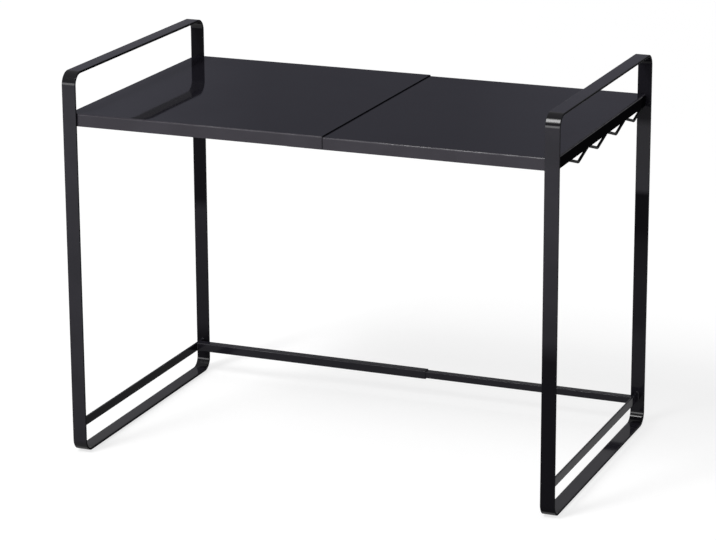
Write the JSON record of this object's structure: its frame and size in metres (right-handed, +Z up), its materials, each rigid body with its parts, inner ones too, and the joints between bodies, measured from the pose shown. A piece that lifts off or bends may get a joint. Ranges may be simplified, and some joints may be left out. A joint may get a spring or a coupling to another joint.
{
  "type": "expandable storage rack",
  "caption": "Free-standing steel shelf rack with two bent flat-bar hoops; its telescoping trays and crossbar slide to set the width.",
  "frame": {"origin": "on the floor, in the middle of the fully extended rack's box", "axes": "X along the width, the direction in which the rack extends, with the inner tray and the hooks at +X; Y from front to rear; Z up"},
  "size_m": [0.62, 0.358, 0.4773],
  "materials": {
    "gloss_paint": "glossy black baked paint on steel",
    "wire_paint": "semi-gloss black paint on steel wire",
    "screw_steel": "blackened steel",
    "plastic": "moulded black nylon",
    "pad_rubber": "matt black rubber"
  },
  "bodies": {
    "left_frame": {"left_hoop": "gloss_paint", "left_rail": "gloss_paint", "outer_tray": "gloss_paint", "outer_tube": "gloss_paint", "left_front_screw": "screw_steel", "left_rear_screw": "screw_steel", "left_front_pad": "pad_rubber", "left_rear_pad": "pad_rubber"},
    "right_frame": {"right_hoop": "gloss_paint", "right_rail": "gloss_paint", "inner_tray": "gloss_paint", "left_stiffener": "gloss_paint", "right_stiffener": "gloss_paint", "inner_tube": "gloss_paint", "inner_tube_plug": "plastic", "hook_wire": "wire_paint", "right_front_screw": "screw_steel", "right_rear_screw": "screw_steel", "right_front_spacer": "plastic", "right_rear_spacer": "plastic", "right_front_pad": "pad_rubber", "right_rear_pad": "pad_rubber"}
  },
  "joints": [
    {"name": "width_slide", "type": "slide", "parent": "left_frame", "child": "right_frame", "axis": [1, 0, 0], "range_m": [-0.26, 0]}
  ]
}
